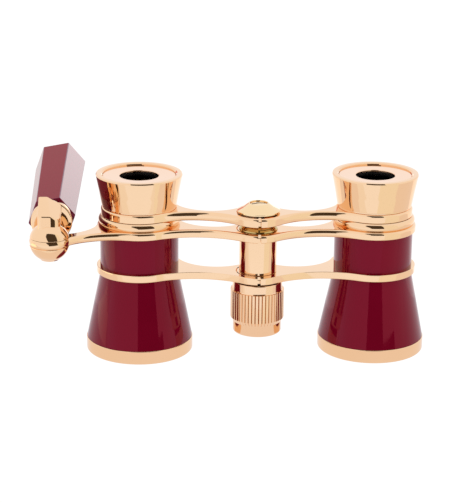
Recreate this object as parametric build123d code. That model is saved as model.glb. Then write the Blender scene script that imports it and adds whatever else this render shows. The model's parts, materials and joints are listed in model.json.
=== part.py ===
"""Folding opera glasses with a swivelling, telescoping handle.

Millimetres, +Z up: the objectives face down and the eyecups face up. The origin is on the
centre hinge axis, in the plane that both objective rims stand on. +X runs from the left
barrel to the right one, and +Y points from the hinge towards the barrels.
"""
from build123d import *
import math
import os

# Places of the axes
BARREL_X = 32.86
BARREL_Y = 6.95
BALL_X = -57.2
BALL_Y = -7.3
BALL_Z = 36.0
GRIP_X = -56.9
GRIP_Z = 39.5

# Barrel
RIM_R = 15.0
RIM_TOP = 3.9
RIM_OPENING_R = 12.3
LENS_SEAT_R = 13.0
SPIGOT_R = 13.6
SPIGOT_TOP = 6.0
CONE_FOOT_R = 14.85
TUBE_R = 10.975
TUBE_BORE_R = 9.9
CONE_TOP = 22.9
COLLAR_THREAD_R = 10.4
COLLAR_TOP = 39.3
BUSH_BORE_R = 9.6
DRAWTUBE_R = 9.55
DRAWTUBE_BORE_R = 8.95

# Bridge plates: bottom, top, ring radius, hub radius, front and back waist radii
LOWER_PLATE = (23.0, 25.0, 11.95, 7.35, 22.3, 11.0)
MIDDLE_PLATE = (35.0, 37.2, 11.75, 7.1, 23.5, 10.2)
UPPER_PLATE = (39.5, 42.0, 10.69, 7.3, 20.0, 10.1)
PLATE_EDGE = 0.3
EYE_R = 5.8
EYE_RECESS_R = 6.1
LAP_GAP = 0.1
HUB_FRONT_GAP = 3.4
HUB_BACK_GAP = 29.5

# Arm that carries the handle: waist and neck radii, front and back
HANDLE_ARM_FRONT = (21.0, 4.6)
HANDLE_ARM_BACK = (12.0, 2.6)
BALL_R = 5.5

# Centre column
POST_R = 5.2
JOURNAL_R = 3.9
SPINDLE_R = 2.95
THREAD_R = 2.2
PIVOT_R = 2.3
RUNNING = 0.05
KNOB_BOTTOM = 7.5
KNOB_TOP = 22.5
KNURL_R = 7.47
KNURL_BOTTOM = 10.7
KNURL_TOP = 19.9
KNURL_COUNT = 48
KNOB_CAVITY_R = 5.6

# Handle
GRIP_START = 1.6
GRIP_END = 57.8
GRIP_NEAR_R = 6.6
GRIP_FAR_R = 7.7
GRIP_ROLL = 10.3
GRIP_BORE_R = 5.0
ROD_R = 3.0
SLIDE_TUBE_R = 4.2
END_CAP_R = 5.7
END_CAP_FRONT = -0.8
END_CAP_BACK = 1.4

ORIGIN = Vector(0, 0)
LEFT_BARREL = Vector(-BARREL_X, BARREL_Y)
BALL = Vector(BALL_X, BALL_Y)


def turned(*corners):
    """Solid of revolution about Z from corners (radius, height) or (radius, height, rounding)."""
    points = [(corner[0], 0, corner[1]) for corner in corners]
    roundings = [corner[2] if len(corner) > 2 else 0 for corner in corners]
    outline = FilletPolyline(*points, radius=roundings, close=True)
    return revolve(make_face(outline), Axis.Z)


def tube(outer, inner, bottom, top, edge=0):
    """Plain ring or disc about Z, with its outer edges rounded."""
    return turned((inner, bottom), (outer, bottom, edge), (outer, top, edge), (inner, top))


def on_barrel(shape, side):
    """Move a piece turned about Z to the left or right barrel."""
    return Pos(BARREL_X if side == "right" else -BARREL_X, BARREL_Y, 0) * shape


def along_handle(shape):
    """Turn a piece made about Z so that it lies on the handle's axis, with height along +Y."""
    return Pos(GRIP_X, 0, GRIP_Z) * Rot(-90, 0, 0) * shape


def on_ball(shape):
    """Move a piece turned about Z to the ball's swivel axis."""
    return Pos(BALL_X, BALL_Y, 0) * shape


# Barrels

def objective_ring():
    return turned(
        (RIM_OPENING_R, 0, 0.3), (RIM_R, 0, 0.7), (RIM_R, RIM_TOP, 0.15), (SPIGOT_R, RIM_TOP),
        (SPIGOT_R, SPIGOT_TOP), (LENS_SEAT_R, SPIGOT_TOP), (LENS_SEAT_R, 1.4), (RIM_OPENING_R, 1.4, 0.2))


def objective_lens():
    """Bulges downwards inside the rim's opening and is flat above."""
    bulge_r = 95.5
    blank = tube(LENS_SEAT_R, 0, 0.5, 3.6)
    return blank & Pos(0, 0, 0.62 + bulge_r) * Sphere(bulge_r)


def objective_retainer():
    return tube(LENS_SEAT_R, 12.2, 3.6, 5.4, 0.15)


def barrel_shell():
    return turned(
        (SPIGOT_R, RIM_TOP), (CONE_FOOT_R, RIM_TOP, 0.1), (TUBE_R, CONE_TOP, 2.0), (TUBE_R, 37.2),
        (COLLAR_THREAD_R, 37.2), (COLLAR_THREAD_R, 38.6), (TUBE_BORE_R, 38.6), (TUBE_BORE_R, CONE_TOP),
        (13.3, SPIGOT_TOP), (SPIGOT_R, SPIGOT_TOP))


def barrel_collar():
    """Ring with a bulged outside that screws on above the middle plate."""
    bulge = Pos(0, 0, 38.2) * Torus(9.9, 1.5)
    blank = tube(11.6, BUSH_BORE_R + RUNNING, 37.2, COLLAR_TOP)
    bulged = blank & (bulge + tube(10.9, 9, 37, 40))
    return bulged - tube(COLLAR_THREAD_R, 0, 37.2, 38.6)


def guide_bush():
    return tube(TUBE_BORE_R, BUSH_BORE_R, 30.0, 38.4)


def drawtube():
    return tube(DRAWTUBE_R, DRAWTUBE_BORE_R, 27.0, 46.4, 0.2)


def eyecup():
    """Flared cup with a rounded rim; inside it holds the drawtube, the lens and the disc."""
    flare = turned(
        (6.6, 42.0), (10.25, 42.0), (10.25, 42.3), (10.45, 42.35, 0.1), (11.15, 46.4, 40.0),
        (12.05, 50.8, 0.3), (11.8, 51.3, 0.25), (10.6, 51.35, 0.2), (10.15, 51.05), (10.1, 49.7),
        (7.6, 49.7), (7.6, 47.9), (6.6, 47.9))
    return flare - tube(DRAWTUBE_R, 0, 42.0, 46.4) - Pos(0, 0, 46.4) * Cone(
        DRAWTUBE_BORE_R, 6.6, 1.2, align=(Align.CENTER, Align.CENTER, Align.MIN))


def eye_disc():
    return turned(
        (5.4, 50.2, 0.15), (5.4, 50.85, 0.3), (10.1, 50.95, 0.08), (10.1, 49.7), (6.4, 49.7))


def eyepiece_lens():
    """Concave on both faces."""
    hollow_r = 20.0
    blank = tube(7.55, 0, 47.9, 49.1)
    top_hollow = Pos(0, 0, 48.7 + hollow_r) * Sphere(hollow_r)
    bottom_hollow = Pos(0, 0, 48.3 - hollow_r) * Sphere(hollow_r)
    return blank - top_hollow - bottom_hollow


def eyepiece_retainer():
    return tube(7.6, 6.4, 49.1, 49.7)


# Bridge plates

def heading(start, end):
    """Direction from one point to another, in degrees from +X."""
    return math.degrees(math.atan2(end.Y - start.Y, end.X - start.X))


def arc(centre, radius, start, end, counterclockwise=True):
    """Arc about a centre between two headings."""
    size = (end - start) % 360
    if not counterclockwise:
        size -= 360
    return CenterArc(centre, radius, start, size)


def touching_centre(first, first_r, second, second_r, radius, behind):
    """Centre of the arc that touches two circles from outside, behind them or in front."""
    along = second - first
    reach = along.length
    share = ((first_r + radius) ** 2 - (second_r + radius) ** 2 + reach ** 2) / (2 * reach)
    rise = math.sqrt((first_r + radius) ** 2 - share ** 2)
    across = Vector(-along.Y, along.X) / reach
    if (across.Y > 0) != behind:
        across = across * -1
    return first + along * (share / reach) + across * rise


def handle_arm_edges(ring_r, start, end):
    """Outline from the ring out to the ball and back, between two headings on the ring."""
    back_r, back_neck = HANDLE_ARM_BACK
    front_r, front_neck = HANDLE_ARM_FRONT
    back = touching_centre(LEFT_BARREL, ring_r, BALL, back_neck, back_r, True)
    front = touching_centre(LEFT_BARREL, ring_r, BALL, front_neck, front_r, False)
    back_arc = arc(back, back_r, heading(back, LEFT_BARREL), heading(back, BALL), False)
    front_arc = arc(front, front_r, heading(front, BALL), heading(front, LEFT_BARREL), False)
    return [
        arc(LEFT_BARREL, ring_r, start, heading(LEFT_BARREL, back)),
        back_arc,
        Line(back_arc @ 1, BALL),
        Line(BALL, front_arc @ 0),
        front_arc,
        arc(LEFT_BARREL, ring_r, heading(LEFT_BARREL, front), end),
    ]


def plate_blank(plate, with_handle_arm=False):
    """Left half of one bridge: barrel ring, waisted arm and the left part of the hub."""
    bottom, top, ring_r, hub_r, front_r, back_r = plate
    front = touching_centre(LEFT_BARREL, ring_r, ORIGIN, hub_r, front_r, False)
    back = touching_centre(LEFT_BARREL, ring_r, ORIGIN, hub_r, back_r, True)
    hub_back = arc(ORIGIN, hub_r, 90 + HUB_BACK_GAP, heading(ORIGIN, back))
    hub_front = arc(ORIGIN, hub_r, heading(ORIGIN, front), 270 - HUB_FRONT_GAP)
    ring_start = heading(LEFT_BARREL, back)
    ring_end = heading(LEFT_BARREL, front)
    if with_handle_arm:
        ring = handle_arm_edges(ring_r, ring_start, ring_end)
    else:
        ring = [arc(LEFT_BARREL, ring_r, ring_start, ring_end)]
    edges = [
        Line(ORIGIN, hub_back @ 0),
        hub_back,
        arc(back, back_r, heading(back, ORIGIN), heading(back, LEFT_BARREL), False),
        *ring,
        arc(front, front_r, heading(front, LEFT_BARREL), heading(front, ORIGIN), False),
        hub_front,
        Line(hub_front @ 1, ORIGIN),
    ]
    blank = Pos(0, 0, bottom) * extrude(make_face(edges), top - bottom)
    faces = blank.faces().sort_by(Axis.Z)
    return fillet(faces[0].edges() + faces[-1].edges(), PLATE_EDGE)


def lapped(blank, plate, eye_on_top, bore_r):
    """Give a plate its half-thickness eye, and a recess for the other plate's eye."""
    bottom, top = plate[:2]
    low_top = (bottom + top - LAP_GAP) / 2
    high_bottom = (bottom + top + LAP_GAP) / 2
    if eye_on_top:
        recess = tube(EYE_RECESS_R, 0, bottom, high_bottom)
        eye = tube(EYE_R, 0, high_bottom, top, 0.15)
    else:
        recess = tube(EYE_RECESS_R, 0, low_top, top)
        eye = tube(EYE_R, 0, bottom, low_top, 0.15)
    return blank - recess + eye - tube(bore_r, 0, bottom, top)


def bridge_plate(plate, side, hole_r, bore_r):
    """One plate; the right one is the mirror image, apart from having its eye on top."""
    blank = plate_blank(plate, plate == MIDDLE_PLATE and side == "left")
    blank -= on_barrel(tube(hole_r, 0, plate[0], plate[1]), "left")
    if side == "right":
        blank = mirror(blank, Plane.YZ)
    elif plate == MIDDLE_PLATE:
        slab = on_ball(tube(BALL_R + 1, 1.55, plate[0], plate[1] - RUNNING))
        blank -= on_ball(tube(1.55, 0, plate[0], plate[1]))
        blank -= on_ball(tube(BALL_R + 0.6, 0, plate[1] - RUNNING, plate[1]))
        blank += Pos(BALL_X, BALL_Y, BALL_Z) * Sphere(BALL_R) & slab
    return lapped(blank, plate, side == "right", bore_r)


# Centre column

def hinge_post():
    """Tube between the lower and middle hubs, with a journal at each end and a bore."""
    return turned(
        (2.4, 17.0), (JOURNAL_R, 17.0, 0.2), (JOURNAL_R, 25.04), (POST_R, 25.04, 0.12), (POST_R, 34.96, 0.12),
        (JOURNAL_R, 34.96), (JOURNAL_R, COLLAR_TOP), (SPINDLE_R + RUNNING, COLLAR_TOP),
        (SPINDLE_R + RUNNING, 26.0), (2.4, 26.0))


def post_locknut():
    """Ring with a domed top that holds the middle hubs on the post."""
    return turned(
        (JOURNAL_R, 37.25), (5.42, 37.25, 0.15), (5.42, 37.9, 0.9), (4.5, COLLAR_TOP, 0.3),
        (JOURNAL_R, COLLAR_TOP))


def focus_spindle():
    """Threaded below, a plain slide above, and a thin pin for the upper plates at the top."""
    return turned(
        (0, 9.6), (THREAD_R, 9.6, 0.3), (THREAD_R, 30.0), (SPINDLE_R, 30.5), (SPINDLE_R, 39.42),
        (PIVOT_R, 39.42), (PIVOT_R, 42.1), (1.2, 42.1), (1.2, 36.0), (0, 36.0))


def dome_cap():
    return turned(
        (1.2, 42.1), (5.6, 42.1), (5.95, 42.3, 0.1), (5.95, 42.65, 0.12), (4.3, 43.5, 2.0),
        (2.75, 44.65, 0.2), (2.4, 44.65, 0.1), (2.4, 43.6), (1.2, 43.6))


def cap_screw():
    """Slotted screw that holds the dome on the spindle."""
    head = turned(
        (0, 36.0), (1.2, 36.0), (1.2, 43.6), (2.35, 43.6), (2.35, 44.35, 0.3), (0, 44.6))
    return head - Pos(0, 0, 44.4) * Rot(0, 0, 12) * Box(6, 0.6, 1.0)


def focus_knob():
    """Plain bands above and below a band of fine upright grooves."""
    lower_r = 6.74
    outline = turned(
        (KNOB_CAVITY_R, KNOB_BOTTOM), (lower_r, KNOB_BOTTOM, 0.6), (lower_r, KNURL_BOTTOM),
        (KNURL_R, 11.8), (KNURL_R, KNURL_TOP), (7.3, KNURL_TOP + 0.1), (6.9, KNOB_TOP, 0.3),
        (JOURNAL_R + RUNNING, KNOB_TOP), (JOURNAL_R + RUNNING, 18.6), (KNOB_CAVITY_R, 18.6))
    groove = Pos(KNURL_R + 0.04, 0, KNURL_BOTTOM) * Cylinder(
        0.27, KNURL_TOP - KNURL_BOTTOM, align=(Align.CENTER, Align.CENTER, Align.MIN))
    grooves = [Rot(0, 0, 360 * turn / KNURL_COUNT) * groove for turn in range(KNURL_COUNT)]
    return outline - grooves


def knob_nut():
    return tube(KNOB_CAVITY_R, THREAD_R + RUNNING, 11.0, 16.4, 0.2)


def knob_end_plug():
    """Disc with a coin slot that closes the knob from below."""
    plug = tube(KNOB_CAVITY_R, 0, KNOB_BOTTOM, 9.2, 0.12)
    return plug - Pos(0, 0, KNOB_BOTTOM) * Box(6.5, 0.8, 0.8)


def knob_washer():
    return tube(5.6, JOURNAL_R, 22.6, 22.95)


def knob_retaining_ring():
    return tube(5.2, JOURNAL_R, 17.6, 18.4, 0.15)


# Handle

def ball_base():
    """Lower half of the ball, below the arm's eye, flattened at the bottom."""
    ball = Pos(BALL_X, BALL_Y, BALL_Z) * Sphere(BALL_R)
    half = ball & on_ball(tube(BALL_R + 1, 0, BALL_Z - BALL_R + 0.2, MIDDLE_PLATE[0]))
    return half - on_ball(tube(1.5, 0, 30, 36)) - on_ball(tube(2.4, 0, 30, 31.9))


def ball_cap():
    """Upper half of the ball, which turns; inside it are the washer and the nut."""
    ball = Pos(BALL_X, BALL_Y, BALL_Z) * Sphere(BALL_R)
    half = ball & on_ball(tube(BALL_R + 1, 0, MIDDLE_PLATE[1] + RUNNING, BALL_Z + BALL_R))
    washer_room = tube(3.0, 0, 37, 38.1)
    screw_room = tube(1.55, 0, 38, 38.7)
    nut_room = tube(2.8, 0, 38.6, 40.2)
    return half - on_ball(washer_room + screw_room + nut_room)


def pivot_screw():
    head = tube(2.35, 0, 30.8, 31.9, 0.2)
    slot = Pos(0, 0, 30.8) * Rot(0, 0, 20) * Box(5, 0.6, 0.9)
    return on_ball(head + tube(1.5, 0, 31.9, 40.0, 0.2) - slot)


def pivot_nut():
    hexagon = Pos(0, 0, 38.85) * extrude(RegularPolygon(2.6, 6), 1.0)
    return on_ball(hexagon - tube(1.5, 0, 38, 41))


def wave_washer():
    return on_ball(tube(2.7, 1.6, 37.3, 37.8))


def handle_bracket():
    """Lug that stands on the ball and carries the end cap, with two sloping top faces."""
    left, right, front, foot, height = -60.3, -54.1, -10.5, 37.6, 10.0
    middle = Vector((left + right) / 2, (front + END_CAP_FRONT) / 2, foot)
    block = Pos(middle) * Box(
        right - left, END_CAP_FRONT - front, height, align=(Align.CENTER, Align.CENTER, Align.MIN))
    front_edges = block.edges().filter_by(Axis.Z).group_by(Axis.Y)[0].sort_by(Axis.X)
    block = fillet(front_edges[0], 1.3)
    block = fillet(block.edges().filter_by(Axis.Z).group_by(Axis.Y)[0].sort_by(Axis.X)[-1], 2.6)
    top_slope = Plane(origin=(left, front, 43.3), z_dir=(0, -0.344, 1))
    side_slope = Plane(origin=(-56.7, front, 43.3), z_dir=(0.64, -0.264, 1))
    beyond = Box(40, 40, 20, align=(Align.CENTER, Align.CENTER, Align.MIN))
    block -= top_slope * beyond
    block -= side_slope * beyond
    top_edges = block.faces().filter_by(lambda face: face.normal_at().Z > 0.5).edges()
    crest = [edge for edge in top_edges if edge.center().Y < END_CAP_FRONT - 0.1]
    block = fillet(crest, 0.35)
    return block - Pos(BALL_X, BALL_Y, BALL_Z) * Sphere(BALL_R)


def handle_end_cap():
    return along_handle(turned(
        (0, END_CAP_FRONT), (END_CAP_R, END_CAP_FRONT, 0.35), (END_CAP_R, END_CAP_BACK, 0.35),
        (ROD_R, END_CAP_BACK), (ROD_R, 0.4), (0, 0.4)))


def handle_rod():
    return along_handle(tube(ROD_R, 0, 0.4, 48.0, 0.3))


def slide_tube():
    """Tube that draws out on the rod, with a flange at its near end."""
    bore = ROD_R + RUNNING
    return along_handle(turned(
        (bore, 2.2), (4.6, 2.2, 0.2), (4.6, 3.8), (SLIDE_TUBE_R, 3.8), (SLIDE_TUBE_R, 51.4), (bore, 51.4)))


def slide_tube_nut():
    return along_handle(tube(4.6, SLIDE_TUBE_R, 50.2, 51.4))


def grip_bushes():
    """Two sleeves inside the grip that turn on the slide tube."""
    near = tube(GRIP_BORE_R, SLIDE_TUBE_R + RUNNING, 4.0, 10.0)
    far = tube(GRIP_BORE_R, SLIDE_TUBE_R + RUNNING, 44.0, 50.0)
    return [along_handle(near), along_handle(far)]


def handle_grip():
    """Six-sided sleeve that widens towards its far end, rolled about its axis."""
    near = Pos(0, 0, GRIP_START) * RegularPolygon(GRIP_NEAR_R, 6, rotation=-GRIP_ROLL)
    far = Pos(0, 0, GRIP_END) * RegularPolygon(GRIP_FAR_R, 6, rotation=-GRIP_ROLL)
    body = loft([near, far])
    body = fillet(body.edges(), 0.35)
    body -= tube(GRIP_BORE_R, 0, GRIP_START, GRIP_END)
    body -= tube(5.35, 0, GRIP_START, 3.4)
    return along_handle(body)


def grip_far_plug():
    """Gold disc with a low dome that closes the far end of the grip."""
    return along_handle(turned(
        (0, 55.3), (GRIP_BORE_R, 55.3), (GRIP_BORE_R, GRIP_END), (5.9, GRIP_END), (5.9, 58.4, 0.4),
        (3.0, 58.8, 3.0), (0, 58.9)))


def barrel_parts(side):
    """Every piece of one barrel, keyed by its node's name."""
    made_for_side = {
        "objective_ring": objective_ring(),
        "objective_lens": objective_lens(),
        "objective_retainer": objective_retainer(),
        "barrel_shell": barrel_shell(),
        "barrel_collar": barrel_collar(),
        "guide_bush": guide_bush(),
        "drawtube": drawtube(),
        "eyecup": eyecup(),
        "eye_disc": eye_disc(),
        "eyepiece_lens": eyepiece_lens(),
        "eyepiece_retainer": eyepiece_retainer(),
    }
    parts = {f"{side}_{name}": on_barrel(shape, side) for name, shape in made_for_side.items()}
    hub_bore = JOURNAL_R + RUNNING
    parts[f"{side}_lower_arm"] = bridge_plate(LOWER_PLATE, side, TUBE_R, hub_bore)
    parts[f"{side}_middle_arm"] = bridge_plate(MIDDLE_PLATE, side, TUBE_R, hub_bore)
    parts[f"{side}_upper_arm"] = bridge_plate(UPPER_PLATE, side, DRAWTUBE_R, PIVOT_R + RUNNING)
    return parts


def all_parts():
    centre_and_handle = {
        "hinge_post": hinge_post(),
        "post_locknut": post_locknut(),
        "focus_spindle": focus_spindle(),
        "dome_cap": dome_cap(),
        "cap_screw": cap_screw(),
        "focus_knob": focus_knob(),
        "knob_nut": knob_nut(),
        "knob_end_plug": knob_end_plug(),
        "knob_washer": knob_washer(),
        "knob_retaining_ring": knob_retaining_ring(),
        "ball_base": ball_base(),
        "ball_cap": ball_cap(),
        "pivot_screw": pivot_screw(),
        "pivot_nut": pivot_nut(),
        "wave_washer": wave_washer(),
        "handle_bracket": handle_bracket(),
        "handle_end_cap": handle_end_cap(),
        "handle_rod": handle_rod(),
        "slide_tube": slide_tube(),
        "slide_tube_nut": slide_tube_nut(),
        "grip_bushes": Compound(children=grip_bushes()),
        "handle_grip": handle_grip(),
        "grip_far_plug": grip_far_plug(),
    }
    return {**barrel_parts("left"), **barrel_parts("right"), **centre_and_handle}


os.makedirs("parts", exist_ok=True)
for node, shape in all_parts().items():
    export_step(shape, f"parts/{node}.step")
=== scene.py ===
"""Looks of the folding opera glasses: polished rose gold, burgundy lacquer, soft white studio."""
import json
import math

import bmesh
import bpy
from mathutils import Matrix, Vector


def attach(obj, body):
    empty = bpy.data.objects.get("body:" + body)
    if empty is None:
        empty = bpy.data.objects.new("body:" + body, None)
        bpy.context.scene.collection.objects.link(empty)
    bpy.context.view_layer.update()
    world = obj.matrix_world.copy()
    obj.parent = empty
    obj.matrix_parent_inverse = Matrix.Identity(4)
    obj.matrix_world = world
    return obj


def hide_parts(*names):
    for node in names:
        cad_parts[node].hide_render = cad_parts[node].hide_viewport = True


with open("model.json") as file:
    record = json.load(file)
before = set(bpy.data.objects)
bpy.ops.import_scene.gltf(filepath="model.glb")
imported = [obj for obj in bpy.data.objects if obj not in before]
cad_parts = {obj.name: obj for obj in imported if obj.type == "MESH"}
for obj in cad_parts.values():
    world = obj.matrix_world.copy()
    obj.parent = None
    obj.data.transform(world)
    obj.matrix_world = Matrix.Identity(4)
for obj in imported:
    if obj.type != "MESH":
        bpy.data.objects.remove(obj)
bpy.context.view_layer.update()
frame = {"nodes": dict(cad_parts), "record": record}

MM = 0.001

# Places of the axes, in millimetres in the part's frame
BARREL_X = 32.86
BARREL_Y = 6.95
BALL = Vector((-57.2, -7.3, 36.0))
GRIP_X = -56.9
GRIP_Z = 39.5

# Barrels: radii and heights shared by several pieces, in millimetres
RIM_R = 15.0
RIM_TOP = 3.9
SPIGOT_R = 13.6
SPIGOT_TOP = 6.0
LENS_SEAT_R = 13.0
TUBE_R = 10.975
TUBE_BORE_R = 9.9
CONE_TOP = 22.9
MIDDLE_TOP = 37.2
COLLAR_THREAD_R = 10.4
COLLAR_THREAD_TOP = 38.6
COLLAR_TOP = 39.3
COLLAR_LIP = 39.44
DRAWTUBE_R = 9.55
DRAWTUBE_BORE_R = 8.95
DRAWTUBE_TOP = 46.4
EYE_CELL_R = 7.6
EYE_LENS_BOTTOM = 47.9
EYE_LENS_TOP = 49.1
EYE_SHELF = 49.7
EYE_OPENING_R = 5.4
EYE_OPENING_BOTTOM = 50.0

# Centre column and knob
JOURNAL_R = 3.9
HINGE_EYE_R = 5.8
HINGE_RECESS_R = 6.1
LAP_GAP = 0.1
RUNNING = 0.05
KNOB_BOTTOM = 7.5
KNOB_TOP = 22.5
KNOB_R = 6.74
KNOB_CAVITY_R = 5.6
KNURL_R = 7.47
KNURL_BOTTOM = 10.7
KNURL_TOP = 19.9
KNURL_COUNT = 48

# Handle: radii, distances along its axis from the part's origin, and the grip's roll in degrees
BALL_R = 5.5
PIVOT_BORE_R = 1.55
ROD_R = 3.0
END_CAP_R = 5.7
END_CAP_FRONT = -0.8
GRIP_BORE_R = 5.0
GRIP_START = 1.6
GRIP_END = 57.8
GRIP_NEAR_R = 6.6
GRIP_FAR_R = 7.7
GRIP_ROLL = 10.3

# Bridge plates: bottom, top, ring radius, hub radius, front and back waist radii
LOWER_PLATE = (23.0, 25.0, 11.95, 7.35, 22.3, 11.0)
MIDDLE_PLATE = (35.0, 37.2, 11.75, 7.1, 23.5, 10.2)
UPPER_PLATE = (39.5, 42.0, 10.69, 7.3, 20.0, 10.1)

# Plate flanks: rounding below and above, and crown radius along the arms
FLANKS = {"lower": (0.2, 0.12, 40.0), "middle": (0.25, 0.75, 1.75), "upper": (0.2, 0.7, 2.3)}

# Angles, in degrees, by which each hub half stops short of the middle line
HUB_FRONT_GAP = 3.4
HUB_BACK_GAP = 29.5

# Handle arm: waist radius, and neck radius at the ball, behind and in front
ARM_BACK = (12.0, 2.6)
ARM_FRONT = (21.0, 4.6)

# Segments in a turn, and the angle from which an edge is sharp
ROUND = 192
SHARP_ANGLE = math.radians(27)


# Materials

def shader(name, **sockets):
    """Material with one Principled shader; returns the material, its nodes, links and shader."""
    made = bpy.data.materials.new(name)
    made.use_nodes = True
    nodes = made.node_tree.nodes
    principled = nodes["Principled BSDF"]
    for socket, value in sockets.items():
        principled.inputs[socket.replace("_", " ")].default_value = value
    return made, nodes, made.node_tree.links, principled


def noise(nodes, links, scale, detail=3.0, stretch=(1, 1, 1)):
    """Noise in the piece's own coordinates, which are metres."""
    place = nodes.new("ShaderNodeTexCoord")
    mapping = nodes.new("ShaderNodeMapping")
    mapping.inputs["Scale"].default_value = stretch
    texture = nodes.new("ShaderNodeTexNoise")
    texture.inputs["Scale"].default_value = scale
    texture.inputs["Detail"].default_value = detail
    links.new(place.outputs["Object"], mapping.inputs["Vector"])
    links.new(mapping.outputs["Vector"], texture.inputs["Vector"])
    return texture.outputs["Fac"]


def spread(nodes, links, value, low, high):
    """Map a noise value onto a range."""
    mapped = nodes.new("ShaderNodeMapRange")
    mapped.inputs["From Min"].default_value = 0.3
    mapped.inputs["From Max"].default_value = 0.7
    mapped.inputs["To Min"].default_value = low
    mapped.inputs["To Max"].default_value = high
    links.new(value, mapped.inputs["Value"])
    return mapped.outputs["Result"]


def blend_colours(nodes, links, value, first, second):
    """Colour between two, by a value from 0 to 1."""
    mix = nodes.new("ShaderNodeMix")
    mix.data_type = "RGBA"
    mix.inputs["A"].default_value = (*first, 1)
    mix.inputs["B"].default_value = (*second, 1)
    links.new(value, mix.inputs["Factor"])
    return mix.outputs["Result"]


def bump(nodes, links, height, distance, principled):
    """Fine relief whose depth is given in metres."""
    bumped = nodes.new("ShaderNodeBump")
    bumped.inputs["Distance"].default_value = distance
    bumped.inputs["Strength"].default_value = 1.0
    links.new(height, bumped.inputs["Height"])
    links.new(bumped.outputs["Normal"], principled.inputs["Normal"])


def gold(name, first, second, rough_low, rough_high):
    """Polished plating: faint smudges in the gloss, a little tone drift, slight waviness."""
    made, nodes, links, principled = shader(name, Metallic=1.0)
    drift = spread(nodes, links, noise(nodes, links, 55.0), 0.0, 1.0)
    links.new(blend_colours(nodes, links, drift, first, second), principled.inputs["Base Color"])
    smudge = spread(nodes, links, noise(nodes, links, 160.0, 6.0), rough_low, rough_high)
    links.new(smudge, principled.inputs["Roughness"])
    bump(nodes, links, noise(nodes, links, 240.0, 2.0), 0.000012, principled)
    return made


def lacquer(name, first, second, tint):
    """Burgundy lacquer: deep colour under a hard gloss with a trace of orange peel."""
    made, nodes, links, principled = shader(name, IOR=1.6, Specular_Tint=tint)
    drift = spread(nodes, links, noise(nodes, links, 70.0, 4.0), 0.0, 1.0)
    links.new(blend_colours(nodes, links, drift, first, second), principled.inputs["Base Color"])
    smudge = spread(nodes, links, noise(nodes, links, 190.0, 6.0), 0.035, 0.075)
    links.new(smudge, principled.inputs["Roughness"])
    bump(nodes, links, noise(nodes, links, 420.0, 2.0), 0.000006, principled)
    return made


def black_paint(name):
    """Matt brown-black paint with a fine grain."""
    made, nodes, links, principled = shader(name, Specular_IOR_Level=0.35)
    grain = noise(nodes, links, 1800.0, 4.0)
    shade = spread(nodes, links, grain, 0.0, 1.0)
    colours = blend_colours(nodes, links, shade, (0.016, 0.011, 0.008), (0.022, 0.016, 0.011))
    links.new(colours, principled.inputs["Base Color"])
    links.new(spread(nodes, links, grain, 0.45, 0.62), principled.inputs["Roughness"])
    bump(nodes, links, grain, 0.000004, principled)
    return made


def steel(name):
    """Bright spring steel with fine lines round it."""
    made, nodes, links, principled = shader(name, Metallic=1.0)
    lines = noise(nodes, links, 300.0, 6.0, (1, 1, 12))
    shade = spread(nodes, links, lines, 0.0, 1.0)
    colours = blend_colours(nodes, links, shade, (0.5, 0.5, 0.51), (0.62, 0.62, 0.63))
    links.new(colours, principled.inputs["Base Color"])
    links.new(spread(nodes, links, lines, 0.2, 0.35), principled.inputs["Roughness"])
    return made


def glass(name, first, second):
    """Lens glass whose coating tone drifts a little, with faint dust."""
    made, nodes, links, principled = shader(name, Transmission_Weight=1.0, IOR=1.52)
    tone = spread(nodes, links, noise(nodes, links, 80.0, 2.0), 0.0, 1.0)
    links.new(blend_colours(nodes, links, tone, first, second), principled.inputs["Base Color"])
    dust = spread(nodes, links, noise(nodes, links, 900.0, 6.0), 0.0, 0.02)
    links.new(dust, principled.inputs["Roughness"])
    return made


GOLD = gold("rose_gold", (0.915, 0.6, 0.35), (0.895, 0.58, 0.33), 0.03, 0.075)
# Lighter copy of the rose gold for the upward eye discs: painted light on their tops
LIT_TOP_GOLD = gold("eye_disc_painted_light", (0.945, 0.625, 0.4), (0.93, 0.605, 0.38), 0.03, 0.07)
KNOB_GOLD = gold("knob_gold", (0.915, 0.6, 0.36), (0.89, 0.575, 0.34), 0.05, 0.1)
# Darker gold painted into the knob's grooves as their shade
GROOVE_SHADE_GOLD = gold("knob_groove_painted_shade", (0.66, 0.4, 0.21), (0.58, 0.34, 0.17), 0.15, 0.3)
# Darker, olive gold for the locknut: painted shade where it sits between the plates
NUT_SHADE_GOLD = gold("locknut_painted_shade", (0.64, 0.46, 0.18), (0.54, 0.37, 0.13), 0.08, 0.16)
CAP_GOLD = gold("cap_gold", (0.93, 0.68, 0.39), (0.91, 0.65, 0.36), 0.08, 0.14)
LACQUER = lacquer(
    "burgundy_lacquer", (0.142, 0.001, 0.011), (0.13, 0.0008, 0.0095), (1.0, 0.16, 0.22, 1))
GRIP_LACQUER = lacquer(
    "grip_lacquer", (0.125, 0.002, 0.018), (0.11, 0.0015, 0.015), (1.0, 0.3, 0.38, 1))
BLACK = black_paint("black_anodised")
NYLON = black_paint("black_nylon")
STEEL = steel("spring_steel")
GLASS = glass("optical_glass", (0.95, 0.97, 1.0), (0.93, 0.98, 0.96))
# Near-black eyepiece glass: painted shade for the dark inside of the barrel seen through it
SHADED_EYE_GLASS = glass("eye_glass_painted_shade", (0.1, 0.08, 0.06), (0.09, 0.075, 0.055))

# Finish of each material slot, and each node's slot and body
SLOT_MATERIALS = {
    "rose_gold": GOLD,
    "knob_gold": KNOB_GOLD,
    "burgundy_lacquer": LACQUER,
    "grip_lacquer": GRIP_LACQUER,
    "optical_glass": GLASS,
    "black_anodised": BLACK,
    "black_nylon": NYLON,
    "spring_steel": STEEL,
}
NODE_SLOTS = {row["node"]: row["material_slot"] for row in frame["record"]["subparts"]}
NODE_BODIES = {
    node: body for body, members in frame["record"]["behaviour"]["bodies"].items() for node in members}


# Mesh helpers

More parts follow.
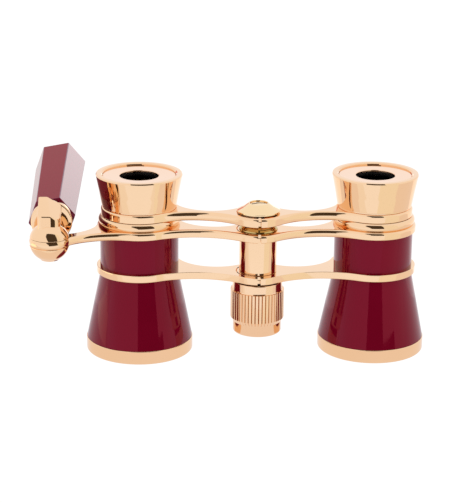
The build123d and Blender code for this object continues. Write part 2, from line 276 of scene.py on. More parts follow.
def rounded(corners, turn=math.radians(9)):
    """Closed outline from corners (a, b) or (a, b, rounding), with each rounding as an arc."""
    points = []
    for index, corner in enumerate(corners):
        here = Vector(corner[:2])
        radius = corner[2] if len(corner) > 2 else 0
        if not radius:
            points.append(here)
            continue
        to_last = (Vector(corners[index - 1][:2]) - here).normalized()
        to_next = (Vector(corners[(index + 1) % len(corners)][:2]) - here).normalized()
        half = to_last.angle(to_next) / 2
        centre = here + (to_last + to_next).normalized() * (radius / math.sin(half))
        first = here + to_last * (radius / math.tan(half)) - centre
        last = here + to_next * (radius / math.tan(half)) - centre
        start = math.atan2(first.y, first.x)
        sweep = (math.atan2(last.y, last.x) - start + math.pi) % (2 * math.pi) - math.pi
        steps = max(2, math.ceil(abs(sweep) / turn))
        for step in range(steps + 1):
            angle = start + sweep * step / steps
            points.append(centre + Vector((math.cos(angle), math.sin(angle))) * radius)
    return points


def rings_to_mesh(name, rings, closed):
    """Mesh from rings of equally many points (mm); closed joins the last ring to the first."""
    built = bmesh.new()
    rows = [[built.verts.new(point) for point in ring] for ring in rings]
    pairs = list(zip(rows, rows[1:]))
    if closed:
        pairs.append((rows[-1], rows[0]))
    for low, high in pairs:
        for index in range(len(low)):
            after = (index + 1) % len(low)
            built.faces.new((low[index], low[after], high[after], high[index]))
    if not closed:
        built.faces.new(rows[0])
        built.faces.new(rows[-1])
    bmesh.ops.remove_doubles(built, verts=built.verts, dist=1e-5)
    bmesh.ops.dissolve_degenerate(built, edges=built.edges, dist=1e-5)
    loose = [edge for edge in built.edges if not edge.link_faces]
    bmesh.ops.delete(built, geom=loose, context="EDGES")
    bmesh.ops.recalc_face_normals(built, faces=built.faces)
    mesh = bpy.data.meshes.new(name)
    built.to_mesh(mesh)
    built.free()
    made = bpy.data.objects.new(name, mesh)
    bpy.context.scene.collection.objects.link(made)
    return made


def lathe(name, corners, segments=ROUND):
    """Solid of revolution about Z from corners (radius, height) or (radius, height, rounding)."""
    outline = rounded(corners)
    angles = [2 * math.pi * step / segments for step in range(segments)]
    turns = [(math.cos(angle), math.sin(angle)) for angle in angles]
    rings = [[(point.x * x, point.x * y, point.y) for x, y in turns] for point in outline]
    return rings_to_mesh(name, rings, True)


def move(piece, matrix):
    """Move a piece's mesh, which is in millimetres until it is finished."""
    piece.data.transform(matrix)
    return piece


def on_barrel(piece, side):
    """Move a piece turned about Z to the left or right barrel."""
    return move(piece, Matrix.Translation((BARREL_X if side == "right" else -BARREL_X, BARREL_Y, 0)))


def along_handle(piece):
    """Lay a piece turned about Z on the handle's axis, with height along +Y."""
    lay = Matrix.Translation((GRIP_X, 0, GRIP_Z)) @ Matrix.Rotation(-math.pi / 2, 4, "X")
    return move(piece, lay)


def on_ball(piece):
    """Move a piece turned about Z to the ball's swivel axis."""
    return move(piece, Matrix.Translation((BALL.x, BALL.y, 0)))


def combine(target, tool, operation):
    """Boolean of two closed pieces; the tool is used up."""
    cut = target.modifiers.new("cut", "BOOLEAN")
    cut.operation = operation
    cut.object = tool
    cut.solver = "EXACT"
    bpy.context.view_layer.update()
    ready = target.evaluated_get(bpy.context.evaluated_depsgraph_get())
    mesh = bpy.data.meshes.new_from_object(ready)
    if not mesh.polygons:
        raise ValueError(f"{operation} with {tool.name} leaves nothing of {target.name}")
    target.modifiers.clear()
    target.data = mesh
    bpy.data.objects.remove(tool)
    return target


def finish_piece(piece, node, material=None):
    """Bring a piece to metres, shade it and let it stand for a CAD node on that node's body."""
    mesh = piece.data
    mesh.transform(Matrix.Scale(MM, 4))
    mesh.materials.clear()
    mesh.materials.append(material or SLOT_MATERIALS[NODE_SLOTS[node]])
    mesh.shade_smooth()
    mesh.set_sharp_from_angle(angle=SHARP_ANGLE)
    weighted = piece.modifiers.new("weighted_normals", "WEIGHTED_NORMAL")
    weighted.keep_sharp = True
    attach(piece, NODE_BODIES[node])
    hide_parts(node)
    return piece


def disc(outer, inner, bottom, top, edge=0):
    """Corners of a plain ring or disc."""
    return [(inner, bottom), (outer, bottom, edge), (outer, top, edge), (inner, top)]


# Barrels

def barrel_outlines():
    """Corners of each turned piece of a barrel, keyed by the end of its node's name."""
    return {
        "objective_ring": [
            (12.3, 0, 0.3), (RIM_R, 0, 0.7), (RIM_R, RIM_TOP, 0.15), (SPIGOT_R, RIM_TOP),
            (SPIGOT_R, SPIGOT_TOP), (LENS_SEAT_R, SPIGOT_TOP), (LENS_SEAT_R, 1.4), (12.3, 1.4, 0.2)],
        "objective_retainer": disc(LENS_SEAT_R, 12.2, 3.6, 5.4, 0.15),
        "barrel_shell": [
            (SPIGOT_R, RIM_TOP), (14.85, RIM_TOP, 0.1), (TUBE_R, CONE_TOP, 2.0), (TUBE_R, MIDDLE_TOP),
            (COLLAR_THREAD_R, MIDDLE_TOP), (COLLAR_THREAD_R, COLLAR_THREAD_TOP),
            (TUBE_BORE_R, COLLAR_THREAD_TOP), (TUBE_BORE_R, CONE_TOP), (13.3, SPIGOT_TOP),
            (SPIGOT_R, SPIGOT_TOP)],
        "barrel_collar": [
            (COLLAR_THREAD_R, MIDDLE_TOP), *collar_bulge(), (9.65, COLLAR_LIP),
            (9.65, COLLAR_THREAD_TOP), (COLLAR_THREAD_R, COLLAR_THREAD_TOP)],
        "guide_bush": disc(TUBE_BORE_R, 9.6, 30.0, 38.4),
        "drawtube": disc(DRAWTUBE_R, DRAWTUBE_BORE_R, 27.0, DRAWTUBE_TOP, 0.2),
        "eyecup": [
            (DRAWTUBE_R, 42.0), (10.25, 42.0), (10.25, 42.3), (10.45, 42.35, 0.1), (11.15, 46.4, 40.0),
            (12.05, 50.95, 0.12), (11.87, 51.3, 0.12), (10.6, 51.35, 0.2), (10.15, 51.05),
            (10.1, EYE_SHELF), (EYE_CELL_R, EYE_SHELF), (EYE_CELL_R, EYE_LENS_BOTTOM),
            (6.6, EYE_LENS_BOTTOM), (6.6, 47.6), (DRAWTUBE_BORE_R, DRAWTUBE_TOP),
            (DRAWTUBE_R, DRAWTUBE_TOP)],
        "eye_disc": [
            (EYE_OPENING_R, EYE_OPENING_BOTTOM, 0.15), (EYE_OPENING_R, 50.6, 0.25),
            (10.1, 50.72, 0.08), (10.1, EYE_SHELF), (6.4, EYE_SHELF)],
        "eyepiece_retainer": disc(EYE_CELL_R, 6.4, EYE_LENS_TOP, EYE_SHELF),
    }


def collar_bulge(middle=38.2, centre_r=9.9, bulge_r=1.5, steps=18):
    """Points of the collar's round outside, from the middle plate up."""
    first = math.asin((MIDDLE_TOP - middle) / bulge_r)
    last = math.asin((COLLAR_LIP - middle) / bulge_r)
    angles = [first + (last - first) * step / steps for step in range(steps + 1)]
    return [(centre_r + bulge_r * math.cos(angle), middle + bulge_r * math.sin(angle))
            for angle in angles]


def lens_outlines():
    """The objective is convex below and flat above; the eyepiece is concave on both faces."""
    lens_r = EYE_CELL_R - RUNNING
    return {
        "objective_lens": [
            (0, 0.62), (6.5, 0.84), (12.2, 1.4), (LENS_SEAT_R, 1.5), (LENS_SEAT_R, 3.6), (0, 3.6)],
        "eyepiece_lens": [
            (0, 48.3), (4.4, EYE_LENS_BOTTOM), (lens_r, EYE_LENS_BOTTOM), (lens_r, EYE_LENS_TOP),
            (4.4, EYE_LENS_TOP), (0, 48.7)],
    }


def is_blackened(name, face):
    """True for faces of a turned barrel piece that are painted black against stray light.

    They are its inside, below the eye opening, and the shell's thread under the collar.
    """
    inwards = face.normal.x * face.center.x + face.normal.y * face.center.y < -1e-6
    if name == "barrel_shell":
        return inwards or face.center.z > MIDDLE_TOP + 0.01
    return name in ("eyecup", "eye_disc") and inwards and face.center.z < EYE_OPENING_BOTTOM


def make_barrels():
    """Every turned piece of both barrels."""
    # Eye discs get the lighter gold of painted light
    own_materials = {"eye_disc": LIT_TOP_GOLD, "eyepiece_lens": SHADED_EYE_GLASS}
    # Eyepiece lenses get the near-black glass of painted shade
    for side in ("left", "right"):
        for name, corners in {**barrel_outlines(), **lens_outlines()}.items():
            node = f"{side}_{name}"
            piece = lathe(f"{node}_turned", corners)
            inner = [face.index for face in piece.data.polygons if is_blackened(name, face)]
            on_barrel(piece, side)
            finish_piece(piece, node, own_materials.get(name))
            if inner:
                piece.data.materials.append(BLACK)
                for index in inner:
                    piece.data.polygons[index].material_index = 1


# Bridge plates

def heading(start, end):
    """Angle of the direction from one point to another."""
    return math.atan2(end.y - start.y, end.x - start.x)


def touching_centre(first, first_r, second, second_r, radius, behind):
    """Centre of the arc that touches two circles from outside, behind them or in front."""
    along = second - first
    reach = along.length
    share = ((first_r + radius) ** 2 - (second_r + radius) ** 2 + reach ** 2) / (2 * reach)
    rise = math.sqrt((first_r + radius) ** 2 - share ** 2)
    across = Vector((-along.y, along.x)) / reach
    if (across.y > 0) != behind:
        across = -across
    return first + along * (share / reach) + across * rise


def bulge(centre, radius, start, end):
    """Arc that bends outwards, as (centre, radius, start heading, sweep)."""
    return centre, radius, start, (end - start) % (2 * math.pi)


def waist(centre, radius, start, end, crowning=1.0):
    """Arc that bends inwards, with the share of crowning its flank reaches halfway."""
    return centre, -radius, start, -((start - end) % (2 * math.pi)), crowning


def handle_arm_arcs(barrel, ring_r, ring_start, ring_end):
    """From the ring out to the ball and back, with a slimmer waist behind than in front."""
    ball = Vector(BALL[:2])
    back_r, back_neck = ARM_BACK
    front_r, front_neck = ARM_FRONT
    back = touching_centre(barrel, ring_r, ball, back_neck, back_r, True)
    front = touching_centre(barrel, ring_r, ball, front_neck, front_r, False)
    return [
        bulge(barrel, ring_r, ring_start, heading(barrel, back)),
        waist(back, back_r, heading(back, barrel), heading(back, ball)),
        bulge(ball, back_neck, heading(ball, back), heading(ball, front)),
        waist(front, front_r, heading(front, ball), heading(front, barrel)),
        bulge(barrel, ring_r, heading(barrel, front), ring_end),
    ]


def plate_arcs(plate, with_handle_arm):
    """Plan outline of the left plate, counterclockwise, as arcs and corner points."""
    ring_r, hub_r, front_r, back_r = plate[2:]
    barrel = Vector((-BARREL_X, BARREL_Y))
    hub = Vector((0, 0))
    front = touching_centre(barrel, ring_r, hub, hub_r, front_r, False)
    back = touching_centre(barrel, ring_r, hub, hub_r, back_r, True)
    ring_start = heading(barrel, back)
    ring_end = heading(barrel, front)
    if with_handle_arm:
        ring = handle_arm_arcs(barrel, ring_r, ring_start, ring_end)
    else:
        ring = [bulge(barrel, ring_r, ring_start, ring_end)]
    front_crowning = 0.1 if with_handle_arm else 1.0
    return [
        hub,
        bulge(hub, hub_r, math.radians(90 + HUB_BACK_GAP), heading(hub, back)),
        waist(back, back_r, heading(back, hub), heading(back, barrel)),
        *ring,
        waist(front, front_r, heading(front, barrel), heading(front, hub), front_crowning),
        bulge(hub, hub_r, heading(hub, front), math.radians(270 - HUB_FRONT_GAP)),
    ]


def trace(arcs, spacing=0.2, growth=0.3):
    """Outline points about spacing apart, each with its outward normal and its share of crowning.

    The share is 0 on rings, hubs and corners. Along an arm it rises smoothly over the first
    part, growth, of the arc, stays at the arc's crowning and falls again at the end.
    """
    points = []
    for piece in arcs:
        if len(piece) == 2:
            points.append((piece, Vector((0, 0)), 0))
            continue
        centre, radius, start, sweep, *crowning = piece
        steps = max(6, round(abs(sweep * radius) / spacing))
        for step in range(steps + 1):
            angle = start + sweep * step / steps
            away = Vector((math.cos(angle), math.sin(angle)))
            outward = away * (1 if radius > 0 else -1)
            share = min(1, min(step, steps - step) / steps / growth)
            share = share * share * (3 - 2 * share) * crowning[0] if crowning else 0
            points.append((centre + away * abs(radius), outward, share))
    return points


def edge_layers(outline, bottom, top, low_edge, high_edge, crown_r, steps=7):
    """Rings of points that give an outline its flank.

    The flank is upright with rounded edges. By each point's share it turns into a crowned
    flank: an arc of radius crown_r from bottom to top, with part of the rounding left.
    """
    rounding_left = 0.4
    middle, half = (bottom + top) / 2, (top - bottom) / 2
    quarter = [1 - math.sin(math.radians(90 * step / steps)) for step in range(steps + 1)]
    low_levels = [low_edge * fall - half for fall in reversed(quarter)]
    high_levels = [half - high_edge * fall for fall in quarter]
    span = high_levels[0] - low_levels[-1]
    inner = [low_levels[-1] + span * step / steps for step in range(1, steps)]
    rings = []
    for level in low_levels + inner + high_levels:
        edge = high_edge if level > 0 else low_edge
        over = max(0, abs(level) - (half - edge))
        upright = edge - math.sqrt(max(0, edge ** 2 - over ** 2))
        crowned = crown_r - math.sqrt(crown_r ** 2 - level ** 2) + upright * rounding_left
        ring = []
        for point, outward, share in outline:
            place = point - outward * (upright + (crowned - upright) * share)
            ring.append((place.x, place.y, middle + level))
        rings.append(ring)
    return rings


def make_plate(plate, side, hole_r, bore_r):
    """Plate with its shaped flank, its barrel hole and its half of the hub's lap joint."""
    level = {LOWER_PLATE: "lower", MIDDLE_PLATE: "middle", UPPER_PLATE: "upper"}[plate]
    node = f"{side}_{level}_arm"
    bottom, top = plate[:2]
    over = 1.0
    through = (bottom - over, top + over)
    arcs = plate_arcs(plate, side == "left" and level == "middle")
    rings = edge_layers(trace(arcs), bottom, top, *FLANKS[level])
    piece = rings_to_mesh(f"{node}_plate", rings, False)
    combine(piece, on_barrel(lathe("hole", disc(hole_r, 0, *through)), "left"), "DIFFERENCE")
    low_top = (bottom + top - LAP_GAP) / 2
    high_bottom = (bottom + top + LAP_GAP) / 2
    if side == "right":
        piece.data.transform(Matrix.Scale(-1, 4, (1, 0, 0)))
        piece.data.flip_normals()
        recess, eye = (bottom - over, high_bottom), (high_bottom, top)
    else:
        recess, eye = (low_top, top + over), (bottom, low_top)
    combine(piece, lathe("recess", disc(HINGE_RECESS_R, 0, *recess)), "DIFFERENCE")
    combine(piece, lathe("eye", disc(HINGE_EYE_R, 0, *eye, 0.05)), "UNION")
    combine(piece, lathe("bore", disc(bore_r, 0, *through), 96), "DIFFERENCE")
    if side == "left" and level == "middle":
        add_ball_band(piece, bottom, top)
    return finish_piece(piece, node)


def add_ball_band(piece, bottom, top):
    """End the handle arm in a round band, between the halves of the ball that turn on it."""
    over = 1.0
    room_gap = 0.6
    band_overlap = 0.17
    band_top = top - RUNNING
    room = disc(BALL_R + room_gap, 0, band_top, top + over)
    combine(piece, on_ball(lathe("room", room)), "DIFFERENCE")
    socket = disc(BALL_R - band_overlap, 0, bottom - over, top + over)
    combine(piece, on_ball(lathe("socket", socket)), "DIFFERENCE")
    band = [(PIVOT_BORE_R, bottom), *band_profile(bottom, band_top), (PIVOT_BORE_R, band_top)]
    combine(piece, on_ball(lathe("band", band)), "UNION")


def ball_profile(bottom, top, steps=14):
    """Points on the ball's surface between two heights, rounded at both seams."""
    seam = 0.1
    points = []
    for step in range(steps + 1):
        z = bottom + (top - bottom) * step / steps
        points.append((math.sqrt(BALL_R ** 2 - (z - BALL.z) ** 2), z))
    (first_r, first_z), (last_r, last_z) = points[0], points[-1]
    points[0] = (first_r, first_z, seam)
    points[-1] = (last_r, last_z, seam)
    return points


def band_profile(bottom, top, crown_r=2.2, steps=12):
    """Crowned flank of the arm's band between the halves of the ball."""
    middle = (bottom + top) / 2
    crown_centre_r = BALL_R - 0.02 - crown_r
    heights = [bottom + (top - bottom) * step / steps for step in range(steps + 1)]
    return [(crown_centre_r + math.sqrt(crown_r ** 2 - (z - middle) ** 2), z) for z in heights]


def make_plates():
    """Three plates a side; the upper ones hang on the drawtubes and the spindle's pin."""
    for side in ("left", "right"):
        make_plate(LOWER_PLATE, side, TUBE_R, JOURNAL_R + RUNNING)
        make_plate(MIDDLE_PLATE, side, TUBE_R, JOURNAL_R + RUNNING)
        make_plate(UPPER_PLATE, side, DRAWTUBE_R, 2.35)


# Centre column

def make_column():
    """Post, its nut, the spindle, the washer and the domed cap with its screw."""
    turned = {
        "hinge_post": [
            (2.4, 17.0), (JOURNAL_R, 17.0, 0.2), (JOURNAL_R, 25.04), (5.2, 25.04, 0.12),
            (5.2, 34.96, 0.12), (JOURNAL_R, 34.96), (JOURNAL_R, COLLAR_TOP), (3.0, COLLAR_TOP),
            (3.0, 26.0), (2.4, 26.0)],
        "post_locknut": [
            (JOURNAL_R, 37.25), (5.42, 37.25, 0.1), (5.3, 37.6, 0.3), (4.75, 38.4, 2.0),
            (JOURNAL_R, 39.1)],
        "focus_spindle": [
            (0, 9.6), (2.2, 9.6, 0.3), (2.2, 30.0), (2.95, 30.5), (2.95, 39.42), (2.3, 39.42),
            (2.3, 42.1), (1.2, 42.1), (1.2, 36.0), (0, 36.0)],
        "knob_washer": disc(5.6, JOURNAL_R, 22.6, 22.95),
    }
    # The locknut gets the darker gold of painted shade
    own_materials = {"post_locknut": NUT_SHADE_GOLD}
    for node, corners in turned.items():
        finish_piece(lathe(f"{node}_turned", corners), node, own_materials.get(node))
    dome = lathe("dome_cap_turned", [
        (1.2, 42.1), (5.6, 42.1), (5.95, 42.3, 0.1), (5.95, 42.65, 0.12), (4.3, 43.5, 2.0),
        (2.75, 44.65, 0.2), (2.4, 44.65, 0.1), (2.4, 43.6), (1.2, 43.6)])
    finish_piece(dome, "dome_cap", CAP_GOLD)
    screw = lathe("cap_screw_turned", [
        (0, 36.0), (1.2, 36.0), (1.2, 43.6), (2.35, 43.6), (2.35, 44.35, 0.3), (0, 44.6)], 96)
    combine(screw, slot_cutter(44.4, 6.0, 0.6, 1.0, 12), "DIFFERENCE")
    finish_piece(screw, "cap_screw", CAP_GOLD)


def slot_cutter(z, length, width, depth, turn):
    """Box that cuts a screwdriver slot across the Z axis, centred at a height and turned."""
    half = (length / 2, width / 2, depth / 2)
    corners = [(-half[0], -half[1]), (half[0], -half[1]), (half[0], half[1]), (-half[0], half[1])]
    rings = [[(x, y, z + level) for x, y in corners] for level in (-half[2], half[2])]
    return move(rings_to_mesh("slot", rings, False), Matrix.Rotation(math.radians(turn), 4, "Z"))


# Knob

def is_groove(face):
    """True for faces of the knob inside a groove of its grip band, above the groove's run-out. These
    faces get a darker gold as painted shade.
    """
    lowest = 11.5
    deepest_r, shallowest_r = KNURL_R - 0.35, KNURL_R - 0.1
    away = math.hypot(face.center.x, face.center.y)
    return lowest < face.center.z < KNURL_TOP and deepest_r < away < shallowest_r


def make_knob():
    """Knob whose grip band has upright grooves that run out in the chamfer below; the grooves are
    painted darker, as shade.
    """
    per_rib = 12
    count = KNURL_COUNT * per_rib
    depth = 0.3
    groove_share = 0.17
    smooth_r = 7.0
    outline = rounded([
        (KNOB_CAVITY_R, KNOB_BOTTOM), (KNOB_R, KNOB_BOTTOM, 0.6), (KNOB_R, KNURL_BOTTOM, 0.3),
        (KNURL_R, 11.8, 0.25), (KNURL_R, KNURL_TOP, 0.05), (7.1, KNURL_TOP + 0.05), (6.98, 20.2, 0.1),
        (6.9, KNOB_TOP, 0.25), (3.95, KNOB_TOP), (3.95, 18.6), (KNOB_CAVITY_R, 18.6)])
    rings = []
    for radius, height in outline:
        ring = []
        for index in range(count):
            angle = 2 * math.pi * index / count
            away = min(index % per_rib, per_rib - index % per_rib) / per_rib
            limit = KNURL_R - depth * max(0, 1 - away / groove_share)
            in_band = radius > smooth_r and height < KNURL_TOP + 0.05
            here = min(radius, limit) if in_band else radius
            ring.append((here * math.cos(angle), here * math.sin(angle), height))
        rings.append(ring)
    knob = rings_to_mesh("focus_knob_turned", rings, True)
    deep = [face.index for face in knob.data.polygons if is_groove(face)]
    finish_piece(knob, "focus_knob")
    # Groove faces get the darker gold: painted shade in the grooves
    knob.data.materials.append(GROOVE_SHADE_GOLD)
    for index in deep:
        knob.data.polygons[index].material_index = 1
    plug = lathe("knob_end_plug_turned", disc(KNOB_CAVITY_R, 0, KNOB_BOTTOM, 9.2, 0.12))
    combine(plug, slot_cutter(KNOB_BOTTOM, 6.5, 0.8, 0.8, 0), "DIFFERENCE")
    finish_piece(plug, "knob_end_plug")


# Handle

def make_ball():
    """Both halves of the ball, and the screw that holds them together from below."""
    base = on_ball(lathe("ball_base_turned", [
        (1.5, 31.9), (2.4, 31.9), (2.4, BALL.z - BALL_R + 0.2, 0.1),
        *ball_profile(BALL.z - BALL_R + 0.75, 35.0), (1.5, 35.0)]))
    finish_piece(base, "ball_base")
    cap = on_ball(lathe("ball_cap_turned", [
        (3.0, 37.25), *ball_profile(37.25, 41.3), (1.0, 41.45), (0, 41.5), (0, 40.2), (2.8, 40.2),
        (2.8, 38.7), (1.55, 38.7), (1.55, 38.1), (3.0, 38.1)]))
    finish_piece(cap, "ball_cap")
    screw = lathe("pivot_screw_turned", [
        (0, 30.8), (2.35, 30.8, 0.2), (2.35, 31.9), (1.5, 31.9), (1.5, 40.0, 0.2), (0, 40.0)], 96)
    combine(screw, slot_cutter(30.8, 5.0, 0.6, 0.9, 20), "DIFFERENCE")
    finish_piece(on_ball(screw), "pivot_screw")


def is_upright(edge):
    """True for an edge of the lug that runs up most of its height."""
    return abs((edge.verts[0].co - edge.verts[1].co).z) > 5


def make_lug():
    """Lug between the ball and the end cap: a block with a leaning front and two sloping top faces."""
    left, right, front, foot, height = -60.3, -54.1, -10.5, 37.6, 10.0
    left_round, right_round, crest_round = 1.3, 2.6, 0.35
    lean = 0.16
    seat_r = BALL_R - 0.05
    slopes = [((left, front, 43.3), (0, -0.344, 1)), ((-56.7, front, 43.3), (0.64, -0.264, 1))]
    built = bmesh.new()
    size = Vector((right - left, END_CAP_FRONT - front, height))
    middle = Vector(((left + right) / 2, (front + END_CAP_FRONT) / 2, foot + height / 2))
    place = Matrix.Translation(middle) @ Matrix.Diagonal((*size, 1))
    bmesh.ops.create_cube(built, size=1.0, matrix=place)
    in_front = [edge for edge in built.edges if is_upright(edge) and edge.verts[0].co.y < front + 1]
    in_front.sort(key=lambda edge: edge.verts[0].co.x)
    bmesh.ops.bevel(
        built, geom=[in_front[1]], offset=right_round, segments=14, profile=0.5, affect="EDGES")
    corner = [edge for edge in built.edges if is_upright(edge)
              and edge.verts[0].co.y < front + 0.1 and edge.verts[0].co.x < left + 0.1]
    bmesh.ops.bevel(built, geom=corner, offset=left_round, segments=10, profile=0.5, affect="EDGES")
    for vert in built.verts:
        if vert.co.y < END_CAP_FRONT - 1:
            vert.co.y += (vert.co.z - foot) * lean
    for point, normal in slopes:
        cut = bmesh.ops.bisect_plane(
            built, geom=built.verts[:] + built.edges[:] + built.faces[:],
            plane_co=Vector(point), plane_no=Vector(normal), clear_outer=True)
        rim = [part for part in cut["geom_cut"] if isinstance(part, bmesh.types.BMEdge)]
        bmesh.ops.contextual_create(built, geom=rim)
    bmesh.ops.recalc_face_normals(built, faces=built.faces)
    crest = [edge for edge in built.edges
             if len(edge.link_faces) == 2 and edge.calc_face_angle() > math.radians(18)
             and max(face.normal.z for face in edge.link_faces) > 0.5
             and (edge.verts[0].co.y + edge.verts[1].co.y) / 2 < END_CAP_FRONT - 0.1]
    bmesh.ops.bevel(built, geom=crest, offset=crest_round, segments=5, profile=0.5, affect="EDGES")
    mesh = bpy.data.meshes.new("handle_bracket_lug")
    built.to_mesh(mesh)
    built.free()
    piece = bpy.data.objects.new("handle_bracket_lug", mesh)
    bpy.context.scene.collection.objects.link(piece)
    angles = [math.radians(angle) for angle in range(-90, 91, 5)]
    seat = [(seat_r * math.cos(angle), BALL.z + seat_r * math.sin(angle)) for angle in angles]
    combine(piece, on_ball(lathe("seat", seat)), "DIFFERENCE")
    finish_piece(piece, "handle_bracket")


def make_handle_core():
    """Turned pieces on the handle's axis: end cap, rod, slide tube and far plug."""
    turned = {
        "handle_end_cap": [
            (0, END_CAP_FRONT), (END_CAP_R, END_CAP_FRONT, 0.45), (END_CAP_R, 1.4, 0.35), (ROD_R, 1.4),
            (ROD_R, 0.4), (0, 0.4)],
        "handle_rod": [(0, 0.4), (ROD_R, 0.4), (ROD_R, 48.0, 0.3), (0, 48.0)],
        "slide_tube": [
            (3.05, 2.2), (4.6, 2.2, 0.2), (4.6, 3.8), (4.2, 3.8), (4.2, 51.4), (3.05, 51.4)],
        "grip_far_plug": [
            (0, 55.3), (GRIP_BORE_R, 55.3), (GRIP_BORE_R, GRIP_END), (5.9, GRIP_END),
            (5.9, 58.4, 0.4), (3.0, 58.8, 3.0), (0, 58.9)],
    }
    for node, corners in turned.items():
        finish_piece(along_handle(lathe(f"{node}_turned", corners)), node)


def hexagon(radius, rounding, roll):
    """Points round a hexagon with rounded corners, as headings and distances from its axis."""
    half_side, side = math.radians(30), math.radians(60)
    flat_r = radius * math.cos(half_side)
    centre = (flat_r - rounding) / math.cos(half_side)
    reach = math.atan2(rounding * math.sin(half_side), centre + rounding * math.cos(half_side))
    offsets = [reach * step / 4 for step in range(-4, 5)]
    offsets += [reach + (side - 2 * reach) * step / 6 for step in range(1, 6)]
    points = []
    for corner in range(6):
        for offset in offsets:
            if abs(offset) <= reach + 1e-9:
                along = math.sqrt(max(0, rounding ** 2 - (centre * math.sin(offset)) ** 2))
                distance = centre * math.cos(offset) + along
            else:
                distance = flat_r / math.cos(offset - half_side)
            points.append((math.radians(roll + 60 * corner) + offset, distance))
    return points


def make_grip():
    """Six-sided lacquered sleeve, widening away from the ball, with a recess at its near end."""
    corner_round = 0.4
    near_edge = 0.35
    far_edge = 0.12
    recess_r = 5.35
    recess_floor = 3.4
    rings = []

    def add(height, radius, inward=0.0, round_r=None):
        ring = []
        for angle, distance in hexagon(radius, corner_round, -GRIP_ROLL):
            reach = round_r if round_r is not None else distance - inward
            ring.append((reach * math.cos(angle), reach * math.sin(angle), height))
        rings.append(ring)

    quarter = [math.radians(90 * step / 5) for step in range(6)]
    add(recess_floor, GRIP_NEAR_R, round_r=GRIP_BORE_R)
    add(recess_floor, GRIP_NEAR_R, round_r=recess_r)
    add(GRIP_START, GRIP_NEAR_R, round_r=recess_r)
    for angle in reversed(quarter):
        height = GRIP_START + near_edge * (1 - math.sin(angle))
        add(height, GRIP_NEAR_R, near_edge * (1 - math.cos(angle)))
    for angle in quarter:
        height = GRIP_END - far_edge * (1 - math.sin(angle))
        add(height, GRIP_FAR_R, far_edge * (1 - math.cos(angle)))
    add(GRIP_END, GRIP_FAR_R, round_r=GRIP_BORE_R)
    finish_piece(along_handle(rings_to_mesh("handle_grip_sleeve", rings, True)), "handle_grip")


# CAD nodes that stay as they are: small pieces inside

def paint_kept_nodes():
    """Give each CAD node that no piece replaces its slot's finish."""
    for node, piece in frame["nodes"].items():
        if not piece.hide_render:
            piece.data.materials.clear()
            piece.data.materials.append(SLOT_MATERIALS[NODE_SLOTS[node]])


# Studio

def aim(forward, roll):
    """Rotation whose -Z looks forward, with +Y up before a roll."""
    forward = Vector(forward).normalized()
    right = forward.cross(Vector((0, 0, 1))).normalized()
    up = right.cross(forward)
    tilt = math.radians(roll)
    rolled_right = right * math.cos(tilt) + up * math.sin(tilt)
    rolled_up = up * math.cos(tilt) - right * math.sin(tilt)
    return Matrix((rolled_right, rolled_up, -forward)).transposed().to_4x4()


def make_camera():
    """Long lens, a little above the object and a little to its left."""
    target = Vector((-9.15, 0, 30.55)) * MM
    distance = 518.6 * MM
    turn = math.radians(2.545)
    down = math.radians(17.82)
    roll = 0.61
    forward = Vector((math.sin(turn) * math.cos(down), math.cos(turn) * math.cos(down), -math.sin(down)))
    data = bpy.data.cameras.new("camera")
    data.lens = 133.9
    data.sensor_width = 36.0
    data.clip_start = 0.01
    data.clip_end = 20.0
    camera = bpy.data.objects.new("camera", data)
    bpy.context.scene.collection.objects.link(camera)
    camera.matrix_world = Matrix.Translation(target - forward * distance) @ aim(forward, roll)
    bpy.context.scene.camera = camera


def light_paint(name, colour, strength=1.0):
    """Even glowing paint for the studio's surfaces."""
    material, _, _, principled = shader(name, Roughness=1.0, Specular_IOR_Level=0.0)
    principled.inputs["Base Color"].default_value = (0, 0, 0, 1)
    principled.inputs["Emission Color"].default_value = (*colour, 1)
    principled.inputs["Emission Strength"].default_value = strength
    return material


def stage_sheet(name, corners, material):
    """Flat sheet through the given corners, in millimetres, that belongs to the studio."""
    mesh = bpy.data.meshes.new(name)
    mesh.from_pydata([Vector(corner) * MM for corner in corners], [], [tuple(range(len(corners)))])
    mesh.materials.append(material)
    made = bpy.data.objects.new(name, mesh)
    bpy.context.scene.collection.objects.link(made)
    return made


def reflector(name, corners, colour):
    """Studio card that is seen only in the object's reflections."""
    card = stage_sheet(name, corners, light_paint(name + "_paint", colour))
    card.visible_camera = False
    card.visible_diffuse = False
    card.visible_shadow = False
    card.visible_transmission = False
    return card


def standing(y, corners):
    """Points of an upright card across Y, from its corners (x, z)."""
    return [(x, y, z) for x, z in corners]


def lying(z, corners):
    """Points of a level card at a height, from its corners (x, y)."""
    return [(x, y, z) for x, y in corners]


def oblong(low, high):
    """Four corners of a rectangle, from two opposite ones."""
    return [low, (high[0], low[1]), high, (low[0], high[1])]


def make_world():
    """Even sky, a little blue."""
    world = bpy.data.worlds.new("studio")
    world.use_nodes = True
    background = world.node_tree.nodes["Background"]
    background.inputs["Color"].default_value = (1.03, 1.08, 1.18, 1)
    background.inputs["Strength"].default_value = 1.0
    bpy.context.scene.world = world


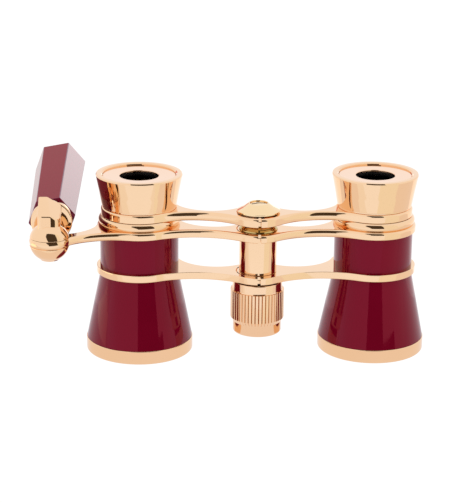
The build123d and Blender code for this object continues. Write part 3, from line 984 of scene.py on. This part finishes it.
def make_studio():
    """White floor and sky, with coloured cards for the reflections in the metal and lacquer.

    Reflections don't see the floor. They see cards for the table, which lie 1 mm below the
    object, smaller cards 0.5 mm below it, and standing cards before and behind it. The table
    card round the object is dimmer: a painted shadow of the object.
    """
    make_world()
    far = 4000
    floor_white = light_paint("floor_white", (1, 1, 1), 1.05)
    floor = stage_sheet("floor", lying(-0.02, oblong((-far, -far), (far, far))), floor_white)
    floor.visible_glossy = False
    # The table card round the object is dimmer: painted shadow of the object, seen in reflections
    near = (0.94, 0.915, 0.95)
    middle = (1.0, 1.04, 1.1)
    bright = (1.05, 1.14, 1.3)
    warm = (0.99, 1.04, 1.02)
    dark = (0.068, 0.052, 0.036)
    cards = {
        "table_shadow": (lying(-1, oblong((-far, -38), (far, 60))), near),
        "table_step": (lying(-1, [(-far, -55), (27, -55), (10.4, -38), (-far, -38)]), middle),
        "table_front": (lying(-1, [(-far, -far), (3900, -far), (27, -55), (-far, -55)]), bright),
        "table_right": (lying(-1, [(3900, -far), (far, -far), (far, -38), (10.4, -38)]), warm),
        "table_rear": (lying(-1, oblong((-far, 60), (far, far))), (1.18, 1.13, 1.15)),
        "table_left": (lying(-0.5, oblong((-160, 110), (-66, 330))), (0.92, 0.83, 0.82)),
        "table_side": (
            lying(-0.5, [(-330, -40), (-118, -22), (-118, 60), (-330, 60)]), (1.45, 1.5, 1.3)),
        "gap": (
            standing(-395, [
                (500, -1), (500, 700), (-230, 700), (-230, 420), (-190, 312), (-63, 50), (-63, -1)]),
            dark),
        "table_end": (lying(-0.5, [(-50, -250), (320, -250), (500, -395), (-63, -395)]), dark),
        "right_panel": (standing(-128, oblong((85, 10), (300, 300))), warm),
        "rear_left": (standing(400, oblong((-165, 105), (-75, 205))), (0.85, 0.36, 0.35)),
        "rear_right": (standing(400, oblong((15, 25), (140, 80))), (1.9, 1.85, 1.85)),
    }
    for name, (corners, colour) in cards.items():
        reflector(name, corners, colour)
    bpy.context.scene.view_settings.view_transform = "Standard"


make_barrels()
make_plates()
make_column()
make_knob()
make_ball()
make_lug()
make_handle_core()
make_grip()
paint_kept_nodes()
make_camera()
make_studio()
